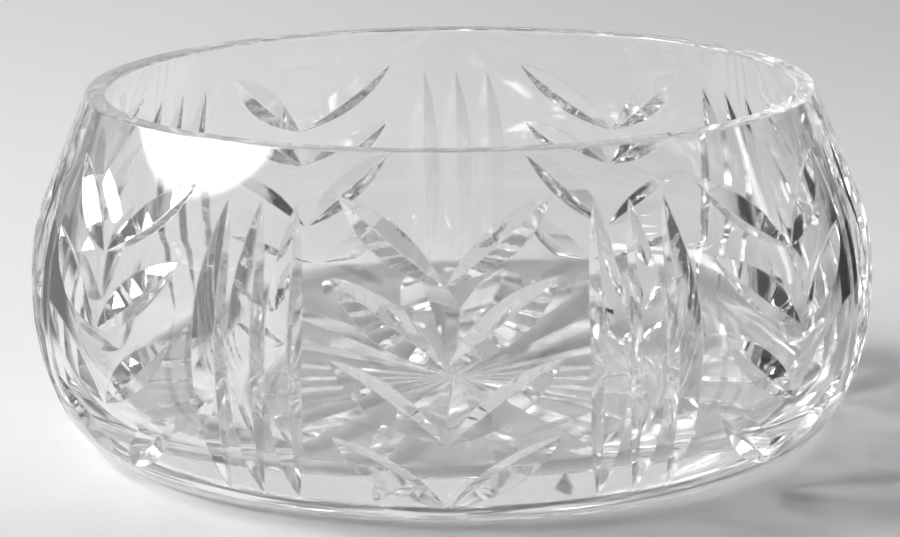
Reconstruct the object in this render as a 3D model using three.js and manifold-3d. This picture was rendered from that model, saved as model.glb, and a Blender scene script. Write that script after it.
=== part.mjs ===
// A cut crystal bowl: one piece of clear glass with mitre cuts on the outside and a star underneath.
// Millimetres, +Z up. The bowl stands on z = 0 and its axis is the Z axis.
// An angle is measured round the axis from -Y, which is the middle of one leaf panel, towards +X.

import * as THREE from 'three';
import { mergeVertices, toCreasedNormals } from 'three/addons/utils/BufferGeometryUtils.js';
import Module from 'manifold-3d';

// The blank, before it is cut
const bowlHeight = 89;
const bellyRadius = 107.5;
const bellyHeight = 40;
const taperHeight = 24.7; // of the straight part of the wall below the rim
const mouthInset = 15.4; // how far the rim stands in from the belly
const footInset = 19.4; // how far the edge of the flat base stands in from the belly
const rimWall = 5.2;
const bellyWall = 7.9;
const rimEdgeRadius = 0.8; // the polished edges of the rim
const floorThickness = 14.1;
const insideCornerWidth = 10.8; // from the inside of the belly in to the flat floor

// The cutting wheels, whose edges are a V with this angle between its sides
const mitreAngle = 118; // for the pattern round the wall
const starMitreAngle = 140;

// The pattern round the wall: a panel of leaves, then a group of upright flutes, and so on
const panels = 7;
const fluteCount = 3; // in each group
const fluteWidth = 9.6;
const fluteRidge = 0.35; // glass left between neighbouring flutes where they are widest
const fluteBottom = 7.2; // height of the lower tips
const fluteTopMargin = 12.2; // from the upper tips to the rim
const leafWidths = [8.6, 8.8, 9.8, 8.2]; // of each row of leaves, from the bottom
const leafBottom = 6.1; // height of the lowest point of the pattern
const leafTopMargin = 10; // from the highest leaf tips to the rim
const leafOverlap = 1.5; // how far a leaf's tip lies above the lower point of the row over it
const leafGap = 0.7; // between the two leaves of a pair, where they point at each other
const panelLand = 5.9; // smooth glass between the leaf tips and the flutes
const fluteFullness = 2.5; // with a higher fullness a cut stays wide nearer to its tips
const leafFullness = 2;

// The star underneath
const starRays = 20;
const starPanel = 4; // one ray points at the middle of this leaf panel
const starRayWidth = 16.2;
const starRayRise = 36; // length of a ray's outer part, in which it rises to its point
const starHubRadius = 2;
const standingRing = 2; // plain width round the star

// How finely round shapes are divided
const roundSides = 84;
const footSteps = 7;
const shoulderSteps = 3;
const edgeSteps = 2;
const insideCornerSteps = 5;
const fluteSteps = 12;
const leafSteps = 5;
const raySteps = 3;
const creaseAngle = 0.3; // in radians: sharper edges than this, such as those of the cuts, look sharp

// Sizes that follow from the ones above
const footRadius = bellyRadius - footInset;
const mouthRadius = bellyRadius - mouthInset;
const insideRadius = bellyRadius - bellyWall;
const floorRadius = insideRadius - insideCornerWidth;
const starRadius = footRadius - standingRing;
const mitreSlope = Math.tan(THREE.MathUtils.degToRad(mitreAngle / 2));
const starMitreSlope = Math.tan(THREE.MathUtils.degToRad(starMitreAngle / 2));
const panelAngle = (2 * Math.PI) / panels;
const fluteAngle = (fluteWidth + fluteRidge) / bellyRadius;
const fluteGroupHalfAngle = (fluteCount * fluteAngle) / 2;
const leafRows = leafWidths.length;
const leafAngle = panelAngle / 2 - fluteGroupHalfAngle - panelLand / bellyRadius;
const cutClearance = 1; // how far a cutter stands out of the glass

const wasm = await Module();
wasm.setup();

// The value between low and high at which a rising function reaches its target.
function valueWhere(rising, target, low, high) {
  const middle = (low + high) / 2;
  if (high - low < 1e-9) return middle;
  return rising(middle) < target
    ? valueWhere(rising, target, middle, high)
    : valueWhere(rising, target, low, middle);
}

// The wall above the belly leaves it upright, follows an arc and runs straight to the rim. This
// gives the arc and the taper's angle from upright, for the outside or the inside of the wall.
function shoulder(widestRadius, topRadius) {
  const arcHeight = bowlHeight - taperHeight - bellyHeight;
  const insetAt = (angle) => arcHeight * Math.tan(angle / 2) + taperHeight * Math.tan(angle);
  const angle = valueWhere(insetAt, widestRadius - topRadius, 0, Math.PI / 2);
  const radius = arcHeight / Math.sin(angle);
  return { angle, radius, centre: widestRadius - radius };
}

const outside = shoulder(bellyRadius, mouthRadius);
const inside = shoulder(insideRadius, mouthRadius - rimWall);

// Radii of the centres of the rim's two polished edges, each of which touches its side of the wall
// and the flat top from within the glass.
const outsideEdge = mouthRadius
  - (rimEdgeRadius * (1 - Math.sin(outside.angle))) / Math.cos(outside.angle);
const insideEdge = mouthRadius - rimWall
  + (rimEdgeRadius * (1 + Math.sin(inside.angle))) / Math.cos(inside.angle);

// Points of an arc or of part of an ellipse, in radius and height.
function arcPoints(centreX, centreY, radiusX, radiusY, from, to, steps) {
  return new THREE.EllipseCurve(centreX, centreY, radiusX, radiusY, from, to, to < from).getPoints(steps);
}

// The outline of the blank in radius and height, from the axis round the glass and back to the axis.
// The corners of the rim's edges join the straight tapers.
function blankOutline() {
  const quarter = Math.PI / 2;
  const edgeHeight = bowlHeight - rimEdgeRadius;
  const cornerHeight = bellyHeight - floorThickness;
  return [
    new THREE.Vector2(0, 0),
    ...arcPoints(footRadius, bellyHeight, footInset, bellyHeight, -quarter, 0, footSteps),
    ...arcPoints(outside.centre, bellyHeight, outside.radius, outside.radius,
      0, outside.angle, shoulderSteps).slice(1),
    ...arcPoints(outsideEdge, edgeHeight, rimEdgeRadius, rimEdgeRadius,
      outside.angle, quarter, edgeSteps),
    ...arcPoints(insideEdge, edgeHeight, rimEdgeRadius, rimEdgeRadius,
      quarter, Math.PI + inside.angle, edgeSteps + 1),
    ...arcPoints(inside.centre, bellyHeight, inside.radius, inside.radius,
      inside.angle, 0, shoulderSteps),
    ...arcPoints(floorRadius, bellyHeight, insideCornerWidth, cornerHeight,
      0, -quarter, insideCornerSteps).slice(1),
    new THREE.Vector2(0, floorThickness),
  ];
}

// A closed geometry as a solid that can be cut. Triangles with no area, which a revolve leaves on
// its axis, are left out.
function toSolid(geometry) {
  geometry.deleteAttribute('normal');
  geometry.deleteAttribute('uv');
  const merged = mergeVertices(geometry);
  const corners = merged.getIndex().array;
  const kept = [];
  for (let i = 0; i < corners.length; i += 3) {
    const [a, b, c] = [corners[i], corners[i + 1], corners[i + 2]];
    if (a !== b && b !== c && c !== a) kept.push(a, b, c);
  }
  return new wasm.Manifold(new wasm.Mesh({
    numProp: 3,
    vertProperties: merged.getAttribute('position').array,
    triVerts: new Uint32Array(kept),
  }));
}

function toGeometry(solid) {
  const mesh = solid.getMesh();
  const geometry = new THREE.BufferGeometry();
  geometry.setAttribute('position', new THREE.BufferAttribute(mesh.vertProperties, 3));
  geometry.setIndex(new THREE.BufferAttribute(mesh.triVerts, 1));
  return toCreasedNormals(geometry, creaseAngle);
}

function makeBlank() {
  const revolved = new THREE.LatheGeometry(blankOutline(), roundSides);
  revolved.rotateX(Math.PI / 2);
  return toSolid(revolved);
}

// The outside of the wall as one curve, from the edge of the base up to the rim.
function makeWallCurve() {
  const taperStart = new THREE.Vector2(
    outside.centre + outside.radius * Math.cos(outside.angle), bowlHeight - taperHeight);
  const curve = new THREE.CurvePath();
  curve.add(new THREE.EllipseCurve(
    footRadius, bellyHeight, footInset, bellyHeight, -Math.PI / 2, 0));
  curve.add(new THREE.EllipseCurve(
    outside.centre, bellyHeight, outside.radius, outside.radius, 0, outside.angle));
  curve.add(new THREE.LineCurve(taperStart, new THREE.Vector2(mouthRadius, bowlHeight)));
  return curve;
}

const wallCurve = makeWallCurve();

// The share of the wall's length, from the edge of the base, at which it reaches a height.
function alongWallAt(height) {
  return valueWhere((share) => wallCurve.getPoint(share).y, height, 0, 1);
}

// A point of the uncut wall and its outward direction, at an angle and a share of the wall's length.
function wallStation(angle, share) {
  const { x: radius, y: height } = wallCurve.getPoint(share);
  const slope = wallCurve.getTangent(share);
  const outward = new THREE.Vector3(Math.sin(angle), -Math.cos(angle), 0);
  return {
    point: outward.clone().multiplyScalar(radius).setZ(height),
    normal: outward.multiplyScalar(slope.y).setZ(-slope.x),
  };
}

// The depth of a cut at a share of its length, where the cut is deepest in the middle and runs out
// to a point at both ends.
function lensDepth(width, fullness, share) {
  return (width / 2 / mitreSlope) * (1 - Math.abs(2 * share - 1) ** fullness);
}

// The wheel's path through the glass: a V along the stations. The slope is half its width over its
// depth.
function mitreCutter(stations, slope) {
  const vertices = [];
  stations.forEach(({ point, normal, depth }, i) => {
    const before = stations[Math.max(i - 1, 0)].point;
    const after = stations[Math.min(i + 1, stations.length - 1)].point;
    const travel = after.clone().sub(before).normalize();
    const left = normal.clone().cross(travel).normalize();
    const halfWidth = (depth + cutClearance) * slope;
    const top = point.clone().addScaledVector(normal, cutClearance);
    vertices.push(
      point.clone().addScaledVector(normal, -depth),
      top.clone().addScaledVector(left, -halfWidth),
      top.clone().addScaledVector(left, halfWidth));
  });
  const triangles = [[0, 1, 2]];
  for (let start = 0; start < vertices.length - 3; start += 3) {
    for (let side = 0; side < 3; side += 1) {
      const near = start + side;
      const next = start + ((side + 1) % 3);
      triangles.push([next, near, near + 3], [next, near + 3, next + 3]);
    }
  }
  const end = vertices.length - 3;
  triangles.push([end, end + 2, end + 1]);
  const geometry = new THREE.BufferGeometry().setFromPoints(vertices);
  geometry.setIndex(triangles.flat());
  return toSolid(geometry);
}

// One upright flute, which follows the curve of the wall.
function fluteCutter(angle) {
  const bottom = alongWallAt(fluteBottom);
  const top = alongWallAt(bowlHeight - fluteTopMargin);
  const stations = [];
  for (let i = 0; i <= fluteSteps; i += 1) {
    const share = i / fluteSteps;
    stations.push({
      ...wallStation(angle, THREE.MathUtils.lerp(bottom, top, share)),
      depth: lensDepth(fluteWidth, fluteFullness, share),
    });
  }
  return mitreCutter(stations, mitreSlope);
}

// One leaf, from the pair's point on the panel's middle line up and out to its tip.
// The side is -1 or 1, and the rows are numbered from the bottom.
function leafCutter(middleAngle, side, row) {
  const bottom = alongWallAt(leafBottom);
  const top = alongWallAt(bowlHeight - leafTopMargin);
  const overlap = leafOverlap / wallCurve.getLength();
  const pitch = (top - bottom - overlap) / leafRows;
  const gapAngle = leafGap / 2 / bellyRadius;
  const stations = [];
  for (let i = 0; i <= leafSteps; i += 1) {
    const share = i / leafSteps;
    const angle = middleAngle + side * THREE.MathUtils.lerp(gapAngle, leafAngle, share);
    stations.push({
      ...wallStation(angle, bottom + row * pitch + share * (pitch + overlap)),
      depth: lensDepth(leafWidths[row], leafFullness, share),
    });
  }
  return mitreCutter(stations, mitreSlope);
}

// One ray of the star under the base, which gets steadily deeper from the hub outwards and then
// rises in an arc to its point.
function rayCutter(angle) {
  const outward = new THREE.Vector3(Math.sin(angle), -Math.cos(angle), 0);
  const station = (radius, depth) => ({
    point: outward.clone().multiplyScalar(radius),
    normal: new THREE.Vector3(0, 0, -1),
    depth,
  });
  const deepest = starRayWidth / 2 / starMitreSlope;
  const rise = arcPoints(starRadius - starRayRise, 0, starRayRise, deepest, Math.PI / 2, 0, raySteps);
  return mitreCutter([
    station(starHubRadius, 0),
    ...rise.map(({ x: radius, y: depth }) => station(radius, depth)),
  ], starMitreSlope);
}

// All the cuts round the wall.
function wallCutters() {
  const cutters = [];
  for (let panel = 0; panel < panels; panel += 1) {
    const leafMiddle = panel * panelAngle;
    for (let row = 0; row < leafRows; row += 1) {
      cutters.push(leafCutter(leafMiddle, -1, row), leafCutter(leafMiddle, 1, row));
    }
    for (let flute = 0; flute < fluteCount; flute += 1) {
      const offset = (flute - (fluteCount - 1) / 2) * fluteAngle;
      cutters.push(fluteCutter(leafMiddle + panelAngle / 2 + offset));
    }
  }
  return cutters;
}

function starCutters() {
  const cutters = [];
  for (let ray = 0; ray < starRays; ray += 1) {
    cutters.push(rayCutter(starPanel * panelAngle + (2 * Math.PI * ray) / starRays));
  }
  return cutters;
}

function makeBowl() {
  let glass = makeBlank();
  for (const cutter of [...wallCutters(), ...starCutters()]) {
    glass = glass.subtract(cutter);
  }
  const crystal = new THREE.MeshStandardMaterial({
    color: 0xf1f4f4,
    roughness: 0.04,
    metalness: 0,
    transparent: true,
    opacity: 0.35,
  });
  const bowl = new THREE.Mesh(toGeometry(glass), crystal);
  bowl.name = 'bowl';
  return bowl;
}

const model = new THREE.Group();
model.add(makeBowl());

export default model;
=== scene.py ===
# A cut crystal bowl on a pale studio table. Metres, +Z up.
# A plan angle is measured round the bowl's axis from -Y, the middle of one leaf panel, towards +X.

import math

import bpy
import numpy as np
from mathutils import Matrix, Vector


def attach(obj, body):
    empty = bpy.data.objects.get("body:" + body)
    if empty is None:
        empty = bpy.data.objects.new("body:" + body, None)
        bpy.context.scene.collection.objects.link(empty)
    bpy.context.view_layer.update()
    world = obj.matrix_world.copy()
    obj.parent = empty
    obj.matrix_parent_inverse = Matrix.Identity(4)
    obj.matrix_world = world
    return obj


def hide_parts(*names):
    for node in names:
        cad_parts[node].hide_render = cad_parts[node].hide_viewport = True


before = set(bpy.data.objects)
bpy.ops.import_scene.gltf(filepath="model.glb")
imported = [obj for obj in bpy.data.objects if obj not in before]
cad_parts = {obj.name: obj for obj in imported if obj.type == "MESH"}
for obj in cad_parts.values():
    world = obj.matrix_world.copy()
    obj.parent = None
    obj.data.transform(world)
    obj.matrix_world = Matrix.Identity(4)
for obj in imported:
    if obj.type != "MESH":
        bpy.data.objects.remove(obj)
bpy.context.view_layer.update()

# The blank, before it is cut. An inset is how much smaller a radius is than the belly's.
BOWL_HEIGHT = 0.089
BELLY_RADIUS = 0.1075
BELLY_HEIGHT = 0.040
TAPER_HEIGHT = 0.0247
MOUTH_INSET = 0.0154
FOOT_INSET = 0.0194
RIM_WALL = 0.0052
BELLY_WALL = 0.0079
RIM_EDGE_RADIUS = 0.0008
FLOOR_THICKNESS = 0.0141
INSIDE_CORNER_WIDTH = 0.0108

# The cuts. The higher a cut's fullness, the longer it keeps its depth between its two points. The
# ridge is uncut glass between two flutes, and the land is uncut glass between leaves and flutes.
MITRE_ANGLE = math.radians(118)
PANELS = 7
FLUTE_COUNT = 3
FLUTE_WIDTH = 0.0096
FLUTE_RIDGE = 0.00035
FLUTE_BOTTOM = 0.0072
FLUTE_TOP_MARGIN = 0.0122
LEAF_WIDTHS = [0.0086, 0.0088, 0.0098, 0.0082]
LEAF_BOTTOM = 0.0061
LEAF_TOP_MARGIN = 0.010
LEAF_OVERLAP = 0.0015
LEAF_GAP = 0.0007
PANEL_LAND = 0.0059
FLUTE_FULLNESS = 2.5
LEAF_FULLNESS = 2.0
CUT_CLEARANCE = 0.001

# The star, with one ray that points at the middle of the panel named here
STAR_RAYS = 20
STAR_PANEL = 4
STAR_MITRE_ANGLE = math.radians(140)
STAR_RAY_WIDTH = 0.0162
STAR_RAY_RISE = 0.036
STAR_HUB_RADIUS = 0.002
STANDING_RING = 0.002

# The glass. A scale is a number of waves to a metre, and heights are in metres.
REFRACTIVE_INDEX = 1.545
GLASS_COLOUR = (0.98, 0.98, 0.98, 1)
CUT_EDGE_RADIUS = 0.0006
CUT_EDGE_SAMPLES = 4
WAVE_SCALE, WAVE_DETAIL, WAVE_HEIGHT = 55, 1, 0.00002
STREAK_SCALE, STREAK_DETAIL, STREAK_HEIGHT = 900, 2, 0.000012
STREAK_STRETCH = (1, 1, 0.16)
WEAR_SCALE, WEAR_DETAIL = 2600, 3
WEAR_LEVELS = (0.45, 0.7)
WEAR_NONE_ABOVE, WEAR_FULL_BELOW = 0.0004, 0.0001
WEAR_ROUGHNESS = 0.28

# The table with its painted shade, and the light that the room sends from each side
TABLE_REACH = 6.0
TABLE_ROUGHNESS = 0.8
AIR_GAP = 0.0004
# Painted shade of the table past its left side and past its front and right, seen only through the
# glass
PAINTED_SHADE_PAST_LEFT, PAINTED_SHADE_PAST_REST = 0.16, 0.03
LIGHT_BEHIND, LIGHT_BESIDE, LIGHT_IN_FRONT, LIGHT_ABOVE = 0.68, 0.22, 0.07, 0.28
WINDOW_SLOPE = 0.279

# How finely the surfaces are divided
ROUND_SIDES = 336
FOOT_STEPS = 40
SHOULDER_STEPS = 14
EDGE_STEPS = 6
INSIDE_CORNER_STEPS = 32
FLUTE_STEPS = 64
LEAF_STEPS = 32
RAY_STEPS = 16
OUTLINE_FINENESS = 12
POINTS_AT_ONCE = 4000
SHARP_ANGLE = math.radians(20)

# Sizes that follow from the ones above
FOOT_RADIUS = BELLY_RADIUS - FOOT_INSET
MOUTH_RADIUS = BELLY_RADIUS - MOUTH_INSET
INSIDE_RADIUS = BELLY_RADIUS - BELLY_WALL
FLOOR_RADIUS = INSIDE_RADIUS - INSIDE_CORNER_WIDTH
STAR_RADIUS = FOOT_RADIUS - STANDING_RING
MITRE_SLOPE = math.tan(MITRE_ANGLE / 2)
STAR_MITRE_SLOPE = math.tan(STAR_MITRE_ANGLE / 2)
PANEL_ANGLE = 2 * math.pi / PANELS
FLUTE_ANGLE = (FLUTE_WIDTH + FLUTE_RIDGE) / BELLY_RADIUS
LEAF_ANGLE = PANEL_ANGLE / 2 - FLUTE_COUNT * FLUTE_ANGLE / 2 - PANEL_LAND / BELLY_RADIUS


def value_where(rising, target, low, high):
    """The value between low and high at which a rising function reaches its target."""
    for _ in range(60):
        middle = (low + high) / 2
        if rising(middle) < target:
            low = middle
        else:
            high = middle
    return (low + high) / 2


def shoulder(widest_radius, top_radius):
    """The taper's angle, and the radius and centre of the arc that leads to it from the belly."""
    arc_height = BOWL_HEIGHT - TAPER_HEIGHT - BELLY_HEIGHT
    angle = value_where(
        lambda a: arc_height * math.tan(a / 2) + TAPER_HEIGHT * math.tan(a),
        widest_radius - top_radius, 0, math.pi / 2)
    radius = arc_height / math.sin(angle)
    return angle, radius, widest_radius - radius


def arc(centre, radii, start, end, steps, side=1):
    """Rows of radius, height and outward direction along part of an ellipse. A side of -1 is for an
    arc that has the glass on its outer side."""
    turn = np.linspace(start, end, steps + 1)
    place = np.stack([centre[0] + radii[0] * np.cos(turn), centre[1] + radii[1] * np.sin(turn)], 1)
    facing = side * np.stack([np.cos(turn) / radii[0], np.sin(turn) / radii[1]], 1)
    facing /= np.linalg.norm(facing, axis=1)[:, None]
    return np.hstack([place, facing])


def blank_outline():
    """The outline of the blank from the axis round the glass and back to the axis."""
    quarter = math.pi / 2
    out_angle, out_radius, out_centre = shoulder(BELLY_RADIUS, MOUTH_RADIUS)
    in_angle, in_radius, in_centre = shoulder(INSIDE_RADIUS, MOUTH_RADIUS - RIM_WALL)
    edge = RIM_EDGE_RADIUS
    edge_height = BOWL_HEIGHT - edge
    out_edge = MOUTH_RADIUS - edge * (1 - math.sin(out_angle)) / math.cos(out_angle)
    in_edge = MOUTH_RADIUS - RIM_WALL + edge * (1 + math.sin(in_angle)) / math.cos(in_angle)
    corner_height = BELLY_HEIGHT - FLOOR_THICKNESS
    return np.vstack([
        [[0, 0, 0, -1]],
        arc((FOOT_RADIUS, BELLY_HEIGHT), (FOOT_INSET, BELLY_HEIGHT), -quarter, 0, FOOT_STEPS),
        arc((out_centre, BELLY_HEIGHT), (out_radius, out_radius), 0, out_angle, SHOULDER_STEPS)[1:],
        arc((out_edge, edge_height), (edge, edge), out_angle, quarter, EDGE_STEPS),
        arc((in_edge, edge_height), (edge, edge), quarter, math.pi + in_angle, EDGE_STEPS),
        arc((in_centre, BELLY_HEIGHT), (in_radius, in_radius), in_angle, 0, SHOULDER_STEPS, -1),
        arc((FLOOR_RADIUS, BELLY_HEIGHT), (INSIDE_CORNER_WIDTH, corner_height),
            0, -quarter, INSIDE_CORNER_STEPS, -1)[1:],
        [[0, FLOOR_THICKNESS, 0, 1]],
    ])


def mesh_object(name, vertices, faces, material):
    """A mesh with one material, put into the scene."""
    mesh = bpy.data.meshes.new(name)
    mesh.from_pydata([tuple(v) for v in vertices], [], faces)
    mesh.materials.append(material)
    made = bpy.data.objects.new(name, mesh)
    bpy.context.scene.collection.objects.link(made)
    return made


def make_blank(outline, material):
    """The outline revolved into one closed mesh, with one vertex at each end of the axis."""
    turn = np.arange(ROUND_SIDES) * 2 * math.pi / ROUND_SIDES
    rings = outline[1:-1]
    radius, height = rings[:, :1], rings[:, 1:2]
    points = np.stack([radius * np.sin(turn), -radius * np.cos(turn), height + 0 * turn], 2)
    under, over = len(rings) * ROUND_SIDES, len(rings) * ROUND_SIDES + 1
    vertices = np.vstack([points.reshape(-1, 3), [[0, 0, outline[0, 1]]], [[0, 0, outline[-1, 1]]]])
    faces = []
    for i in range(ROUND_SIDES):
        beside = (i + 1) % ROUND_SIDES
        faces.append((under, beside, i))
        for j in range(len(rings) - 1):
            start, end = j * ROUND_SIDES, (j + 1) * ROUND_SIDES
            faces.append((start + i, start + beside, end + beside, end + i))
        faces.append((end + i, end + beside, over))
    return mesh_object("blank", vertices, faces, material)


class Wall:
    """The outside of the wall as a curve, measured by its length from the edge of the base."""

    def __init__(self, outline):
        rise = np.argmax(outline[:, 1] >= BOWL_HEIGHT - RIM_EDGE_RADIUS)
        self.rows = outline[1:rise + 1]
        steps = np.linalg.norm(np.diff(self.rows[:, :2], axis=0), axis=1)
        self.length = np.concatenate([[0], np.cumsum(steps)])

    def at_height(self, height):
        return np.interp(height, self.rows[:, 1], self.length)

    def station(self, angle, length):
        """A point of the uncut wall and its outward direction."""
        radius, height, sideways, up = (
            np.interp(length, self.length, self.rows[:, k]) for k in range(4))
        outward = Vector((math.sin(angle), -math.cos(angle), 0))
        point = outward * radius + Vector((0, 0, height))
        return point, (outward * sideways + Vector((0, 0, up))).normalized()


def lens_depths(width, fullness, steps):
    """Depths of a cut that is deepest in the middle and runs out to a point at both ends."""
    deepest = width / 2 / MITRE_SLOPE
    return [deepest * (1 - abs(2 * i / steps - 1) ** fullness) for i in range(steps + 1)]


def mitre_cutter(name, stations, depths, slope, material):
    """The wheel's path through the glass: a V along the stations, each as deep as its depth says,
    whose top stands a little clear of the glass."""
    last = len(stations) - 1
    vertices = []
    for i, ((point, normal), depth) in enumerate(zip(stations, depths)):
        travel = (stations[min(i + 1, last)][0] - stations[max(i - 1, 0)][0]).normalized()
        left = normal.cross(travel).normalized()
        half_width = (depth + CUT_CLEARANCE) * slope
        top = point + normal * CUT_CLEARANCE
        vertices += [point - normal * depth, top - left * half_width, top + left * half_width]
    faces = [(0, 1, 2)]
    for start in range(0, 3 * last, 3):
        for side in range(3):
            near, beside = start + side, start + (side + 1) % 3
            faces.append((beside, near, near + 3, beside + 3))
    faces.append((3 * last, 3 * last + 2, 3 * last + 1))
    return mesh_object(name, vertices, faces, material)


def flute_cutter(wall, angle, material):
    bottom = wall.at_height(FLUTE_BOTTOM)
    top = wall.at_height(BOWL_HEIGHT - FLUTE_TOP_MARGIN)
    stations = [wall.station(angle, length) for length in np.linspace(bottom, top, FLUTE_STEPS + 1)]
    depths = lens_depths(FLUTE_WIDTH, FLUTE_FULLNESS, FLUTE_STEPS)
    return mitre_cutter("flute", stations, depths, MITRE_SLOPE, material)


def leaf_cutter(wall, middle_angle, side, row, material):
    """One leaf, from the pair's point on the panel's middle line up and out to its tip."""
    bottom = wall.at_height(LEAF_BOTTOM)
    top = wall.at_height(BOWL_HEIGHT - LEAF_TOP_MARGIN)
    pitch = (top - bottom - LEAF_OVERLAP) / len(LEAF_WIDTHS)
    gap_angle = LEAF_GAP / 2 / BELLY_RADIUS
    stations = []
    for share in np.linspace(0, 1, LEAF_STEPS + 1):
        angle = middle_angle + side * (gap_angle + share * (LEAF_ANGLE - gap_angle))
        stations.append(wall.station(angle, bottom + row * pitch + share * (pitch + LEAF_OVERLAP)))
    depths = lens_depths(LEAF_WIDTHS[row], LEAF_FULLNESS, LEAF_STEPS)
    return mitre_cutter("leaf", stations, depths, MITRE_SLOPE, material)


def ray_cutter(angle, material):
    """One ray of the star, which gets steadily deeper from the hub outwards and then rises in an
    arc to its point."""
    outward = Vector((math.sin(angle), -math.cos(angle), 0))
    down = Vector((0, 0, -1))
    deepest = STAR_RAY_WIDTH / 2 / STAR_MITRE_SLOPE
    stations = [(outward * STAR_HUB_RADIUS, down)]
    depths = [0.0]
    for turn in np.linspace(0, math.pi / 2, RAY_STEPS + 1):
        radius = STAR_RADIUS - STAR_RAY_RISE * (1 - math.sin(turn))
        stations.append((outward * radius, down))
        depths.append(deepest * math.cos(turn))
    return mitre_cutter("ray", stations, depths, STAR_MITRE_SLOPE, material)


def make_cutters(wall, material):
    """The cutters of the leaf panels, of the flutes between them and of the star."""
    cutters = []
    for panel in range(PANELS):
        middle = panel * PANEL_ANGLE
        for row in range(len(LEAF_WIDTHS)):
            for side in (-1, 1):
                cutters.append(leaf_cutter(wall, middle, side, row, material))
        for flute in range(FLUTE_COUNT):
            offset = (flute - (FLUTE_COUNT - 1) / 2) * FLUTE_ANGLE
            cutters.append(flute_cutter(wall, middle + PANEL_ANGLE / 2 + offset, material))
    for ray in range(STAR_RAYS):
        angle = STAR_PANEL * PANEL_ANGLE + 2 * math.pi * ray / STAR_RAYS
        cutters.append(ray_cutter(angle, material))
    return cutters


def cut(blank, cutters):
    """The blank's mesh with every cutter taken away from it."""
    group = bpy.data.collections.new("cutters")
    for cutter in cutters:
        group.objects.link(cutter)
    step = blank.modifiers.new("cuts", "BOOLEAN")
    step.operation = "DIFFERENCE"
    step.solver = "MANIFOLD"
    step.operand_type = "COLLECTION"
    step.collection = group
    step.material_mode = "TRANSFER"
    shown = blank.evaluated_get(bpy.context.evaluated_depsgraph_get())
    mesh = bpy.data.meshes.new_from_object(shown)
    for used in [blank, *cutters]:
        bpy.data.objects.remove(used)
    bpy.data.collections.remove(group)
    return mesh


def outline_normals(points, outline):
    """The outward direction of the blank at points on its surface, from the nearest place on a
    finely divided outline."""
    steps = np.linspace(0, len(outline) - 1, OUTLINE_FINENESS * (len(outline) - 1) + 1)
    fine = np.stack([np.interp(steps, np.arange(len(outline)), outline[:, k]) for k in range(4)], 1)
    radius = np.hypot(points[:, 0], points[:, 1])
    place = np.stack([radius, points[:, 2]], 1)
    nearest = np.concatenate([
        np.argmin(((part[:, None, :] - fine[None, :, :2]) ** 2).sum(2), axis=1)
        for part in np.array_split(place, max(1, len(place) // POINTS_AT_ONCE))])
    facing = fine[nearest, 2:]
    outward = points[:, :2] / np.maximum(radius, 1e-9)[:, None]
    normals = np.hstack([outward * facing[:, :1], facing[:, 1:]])
    return normals / np.linalg.norm(normals, axis=1)[:, None]


def smooth(mesh, outline):
    """Gives the uncut glass the true directions of its curved surface, and each facet of a cut its
    own smooth run with crisp edges. Says for each face whether it lies in a cut."""
    mesh.shade_smooth()
    mesh.set_sharp_from_angle(angle=SHARP_ANGLE)
    is_cut = np.array([mesh.materials[p.material_index].name == "cut" for p in mesh.polygons])
    sides = {}
    for face in mesh.polygons:
        for key in face.edge_keys:
            sides.setdefault(key, set()).add(bool(is_cut[face.index]))
    for edge in mesh.edges:
        if len(sides[edge.key]) > 1:
            edge.use_edge_sharp = True
    corners = len(mesh.loops)
    normals = np.zeros(corners * 3, np.float32)
    mesh.corner_normals.foreach_get("vector", normals)
    normals = normals.reshape(-1, 3)
    corner_vertex = np.zeros(corners, np.int32)
    mesh.loops.foreach_get("vertex_index", corner_vertex)
    places = np.zeros(len(mesh.vertices) * 3, np.float32)
    mesh.vertices.foreach_get("co", places)
    corner_cut = np.repeat(is_cut, [p.loop_total for p in mesh.polygons])
    plain = ~corner_cut
    normals[plain] = outline_normals(places.reshape(-1, 3)[corner_vertex[plain]], outline)
    mesh.normals_split_custom_set([tuple(n) for n in normals])
    return is_cut


class Nodes:
    """The node tree of a material or world, filled one line at a time."""

    def __init__(self, owner):
        owner.use_nodes = True
        self.nodes = owner.node_tree.nodes
        self.links = owner.node_tree.links

    def feed(self, value, socket):
        if isinstance(value, bpy.types.NodeSocket):
            self.links.new(value, socket)
        else:
            socket.default_value = value

    def add(self, kind, inputs=None, **settings):
        node = self.nodes.new(kind)
        for name, value in settings.items():
            setattr(node, name, value)
        for name, value in (inputs or {}).items():
            self.feed(value, node.inputs[name])
        return node

    def math(self, operation, *values):
        node = self.add("ShaderNodeMath", operation=operation)
        for value, socket in zip(values, node.inputs):
            self.feed(value, socket)
        return node.outputs[0]

    def ramp(self, value, start, end, low=0.0, high=1.0):
        """Goes smoothly from low to high while the value goes from start to end."""
        limits = {"Value": value, "From Min": start, "From Max": end, "To Min": low, "To Max": high}
        return self.add("ShaderNodeMapRange", limits, interpolation_type="SMOOTHSTEP").outputs[0]

    def noise(self, place, scale, detail):
        """Noise from 0 to 1 with so many waves to a metre."""
        inputs = {"Vector": place, "Scale": scale, "Detail": detail}
        return self.add("ShaderNodeTexNoise", inputs).outputs[0]

    def bump(self, height, distance, normal):
        inputs = {"Height": height, "Distance": distance, "Normal": normal}
        return self.add("ShaderNodeBump", inputs).outputs[0]

    def mix(self, share, first, second):
        """The first number where the share is 0, the second where it is 1."""
        inputs = {"Factor": share, "A": first, "B": second}
        return self.add("ShaderNodeMix", inputs).outputs[0]


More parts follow.
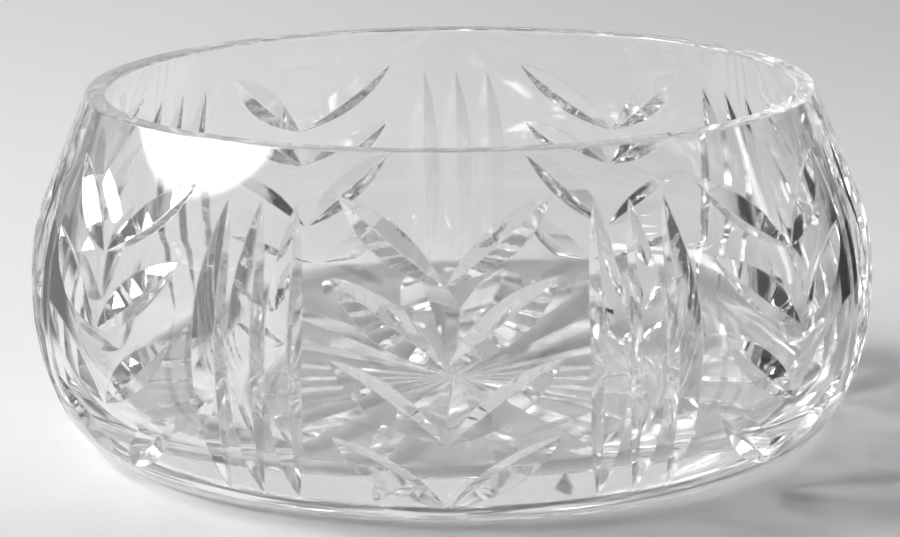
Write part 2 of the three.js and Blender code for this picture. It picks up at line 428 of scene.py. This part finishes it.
def crystal_material():
    """Clear polished lead crystal: hardly waved where it was blown, finely streaked by the wheel
    in the cuts, rounded in its shading along their lips, and worn where it stands."""
    material = bpy.data.materials.new("crystal")
    tree = Nodes(material)
    place = tree.add("ShaderNodeTexCoord").outputs["Object"]
    height = tree.add("ShaderNodeSeparateXYZ", {"Vector": place}).outputs["Z"]
    in_cut = tree.add("ShaderNodeAttribute", attribute_name="in_cut").outputs["Fac"]

    lips = tree.add("ShaderNodeBevel", {"Radius": CUT_EDGE_RADIUS}, samples=CUT_EDGE_SAMPLES)
    waves = tree.noise(place, WAVE_SCALE, WAVE_DETAIL)
    waved = tree.bump(waves, WAVE_HEIGHT, lips.outputs[0])
    upright = tree.add("ShaderNodeVectorMath", {0: place, 1: STREAK_STRETCH}, operation="MULTIPLY")
    streaks = tree.noise(upright.outputs[0], STREAK_SCALE, STREAK_DETAIL)
    streaked = tree.bump(tree.math("MULTIPLY", streaks, in_cut), STREAK_HEIGHT, waved)

    worn = tree.ramp(height, WEAR_NONE_ABOVE, WEAR_FULL_BELOW)
    scratches = tree.ramp(tree.noise(place, WEAR_SCALE, WEAR_DETAIL), *WEAR_LEVELS)
    wear = tree.math("MULTIPLY", worn, scratches)

    shader = tree.nodes["Principled BSDF"]
    shader.inputs["Base Color"].default_value = GLASS_COLOUR
    shader.inputs["IOR"].default_value = REFRACTIVE_INDEX
    shader.inputs["Transmission Weight"].default_value = 1.0
    tree.feed(tree.mix(wear, 0.0, WEAR_ROUGHNESS), shader.inputs["Roughness"])
    tree.feed(streaked, shader.inputs["Normal"])
    return material


def make_bowl():
    """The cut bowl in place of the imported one. While it is made, two materials tell the faces of
    the blank from those of the cuts."""
    outline = blank_outline()
    plain = bpy.data.materials.new("plain")
    cut_mark = bpy.data.materials.new("cut")
    blank = make_blank(outline, plain)
    cutters = make_cutters(Wall(outline), cut_mark)
    mesh = cut(blank, cutters)
    in_cut = smooth(mesh, outline)
    mesh.attributes.new("in_cut", "FLOAT", "FACE").data.foreach_set("value", in_cut.astype(float))
    mesh.polygons.foreach_set("material_index", [0] * len(mesh.polygons))
    mesh.materials.clear()
    mesh.materials.append(crystal_material())
    mesh.name = "cut_crystal_bowl"
    bowl = bpy.data.objects.new("cut_crystal_bowl", mesh)
    bpy.context.scene.collection.objects.link(bowl)
    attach(bowl, "root")
    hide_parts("bowl")


def make_floor():
    """A pale table that reaches past the horizon of the picture, with painted shade that makes it
    darker away from the window, to the right and to the back, and a painted shadow that darkens it
    towards the front. Seen through the glass or as a reflection it is painted dark past its front
    and both sides, shade that stands for the dark room around it, while the camera sees it pale
    there. A thin layer of air keeps the bowl's base clear of it."""
    material = bpy.data.materials.new("table")
    tree = Nodes(material)
    place = tree.add("ShaderNodeTexCoord").outputs["Object"]
    split = tree.add("ShaderNodeSeparateXYZ", {"Vector": place})
    x, y = split.outputs["X"], split.outputs["Y"]

    # Places on the table are in metres, and a shade is the share of the light that it sends back.
    # Its fall to the right and the back is painted shade, and its fall at the front is a painted
    # shadow of the bowl.
    painted_shade_right = tree.ramp(x, -0.3, 0.3, 0.82, 0.60)
    painted_shade_back = tree.ramp(y, -0.1, 0.9, 1.0, 0.74)
    painted_shadow_front = tree.ramp(y, -0.03, -0.11, 1.0, 0.88)
    pale = tree.math("MULTIPLY", tree.math("MULTIPLY", painted_shade_right, painted_shade_back), painted_shadow_front)

    # Painted shade seen only through the glass: past these edges the table turns dark, standing in
    # for the dark room around it
    left_edge = tree.ramp(x, -0.15, -0.18)
    left_corner = tree.ramp(tree.math("MULTIPLY_ADD", y, 0.5, x), -0.11, -0.13)
    past_left = tree.math("MULTIPLY", left_edge, left_corner)
    past_right = tree.ramp(tree.math("MULTIPLY_ADD", y, -0.35, x), 0.19, 0.21)
    past_front = tree.ramp(y, -0.27, -0.30)
    painted_surround_shade = tree.mix(past_left, pale, PAINTED_SHADE_PAST_LEFT)
    painted_surround_shade = tree.mix(tree.math("MAXIMUM", past_right, past_front), painted_surround_shade, PAINTED_SHADE_PAST_REST)

    # The camera sees the table pale here, and the glass sees the painted shade
    seen = tree.add("ShaderNodeLightPath").outputs["Is Camera Ray"]
    shade = tree.mix(seen, painted_surround_shade, pale)
    colour = tree.add("ShaderNodeCombineColor", {"Red": shade, "Green": shade, "Blue": shade})
    shader = tree.nodes["Principled BSDF"]
    shader.inputs["Roughness"].default_value = TABLE_ROUGHNESS
    shader.inputs["Specular IOR Level"].default_value = 0.0
    tree.feed(colour.outputs[0], shader.inputs["Base Color"])
    signs = [(-1, -1), (1, -1), (1, 1), (-1, 1)]
    corners = [(i * TABLE_REACH, j * TABLE_REACH, -AIR_GAP) for i, j in signs]
    mesh_object("table", corners, [(0, 1, 2, 3)], material)


def make_camera():
    """The camera at the photograph's place, found from the outline and the cuts seen there."""
    frame_width, frame_height = 900, 537
    focal_length = 3367.6
    distance, rise = 7.8643 * BELLY_RADIUS, 2.1860 * BELLY_RADIUS
    pitch, yaw, roll = math.radians(14.4465), math.radians(0.4304), math.radians(-0.5409)
    centre_x, centre_y = 477.66, 355.73
    swing = math.radians(0.9166)
    data = bpy.data.cameras.new("camera")
    data.sensor_width = 36
    data.lens = focal_length / frame_width * data.sensor_width
    data.clip_end = 100
    data.shift_x = -(centre_x - frame_width / 2) / frame_width
    data.shift_y = (centre_y - frame_height / 2) / frame_width
    camera = bpy.data.objects.new("camera", data)
    bpy.context.scene.collection.objects.link(camera)
    place = Matrix.Translation((0, -distance, rise))
    aim = (Matrix.Rotation(-yaw, 4, "Z") @ Matrix.Rotation(math.pi / 2 - pitch, 4, "X")
           @ Matrix.Rotation(roll, 4, "Z"))
    camera.matrix_world = Matrix.Rotation(swing, 4, "Z") @ place @ aim
    bpy.context.scene.camera = camera


def make_world():
    """The room as light from each direction. Degrees: azimuth from straight behind the bowl, as the
    camera sees it, towards the right, and elevation above the horizon."""
    world = bpy.data.worlds.new("studio")
    bpy.context.scene.world = world
    tree = Nodes(world)
    direction = tree.add("ShaderNodeTexCoord").outputs["Generated"]
    split = tree.add("ShaderNodeSeparateXYZ", {"Vector": direction})
    turn = tree.math("ARCTAN2", split.outputs["X"], split.outputs["Y"])
    azimuth = tree.math("DEGREES", turn)
    elevation = tree.math("DEGREES", tree.math("ARCSINE", split.outputs["Z"]))

    away = tree.math("ABSOLUTE", azimuth)
    walls = tree.mix(tree.ramp(away, 100, 130),
                     tree.ramp(away, 42, 58, LIGHT_BEHIND, LIGHT_BESIDE), LIGHT_IN_FRONT)
    light = tree.mix(tree.ramp(elevation, 50, 70), walls, LIGHT_ABOVE)

    # The lower part of the window follows a line that rises from the back of the room to the front
    slanted = tree.math("MULTIPLY_ADD", azimuth, WINDOW_SLOPE, elevation)
    patches = [
        # height, left, right, low, high, softness, level
        (elevation, -78, -62, -9, 6, 3, 0.36),           # a lighter place low on the left
        (elevation, 46, 112, -9, 24, 5, 0.06),           # the dark lower wall on the right
        (elevation, 76.5, 78.5, 0, 60, 0.5, 4.0),        # a narrow upright strip of light there
        (elevation, -95, -65, 42, 54, 1, 22.0),          # the upper part of the window
        (slanted, -122, -66, -4.84, 5.2, 0.2, 20.0),     # its lower part
    ]
    for height, left, right, low, high, soft, level in patches:
        inside = tree.math("MULTIPLY", tree.ramp(azimuth, left - soft, left + soft),
                           tree.ramp(azimuth, right + soft, right - soft))
        inside = tree.math("MULTIPLY", inside, tree.ramp(height, low - soft, low + soft))
        inside = tree.math("MULTIPLY", inside, tree.ramp(height, high + soft, high - soft))
        light = tree.mix(inside, light, level)
    tree.feed(light, tree.nodes["Background"].inputs["Color"])


def set_light_paths():
    """Enough bounces for light to find its way out of the cut glass, and its caustics kept."""
    cycles = bpy.context.scene.cycles
    cycles.max_bounces = 48
    cycles.transmission_bounces = 48
    cycles.glossy_bounces = 24
    cycles.blur_glossy = 0.0


set_light_paths()
make_camera()
make_world()
make_floor()
make_bowl()

bpy.context.scene.view_settings.view_transform = "Standard"
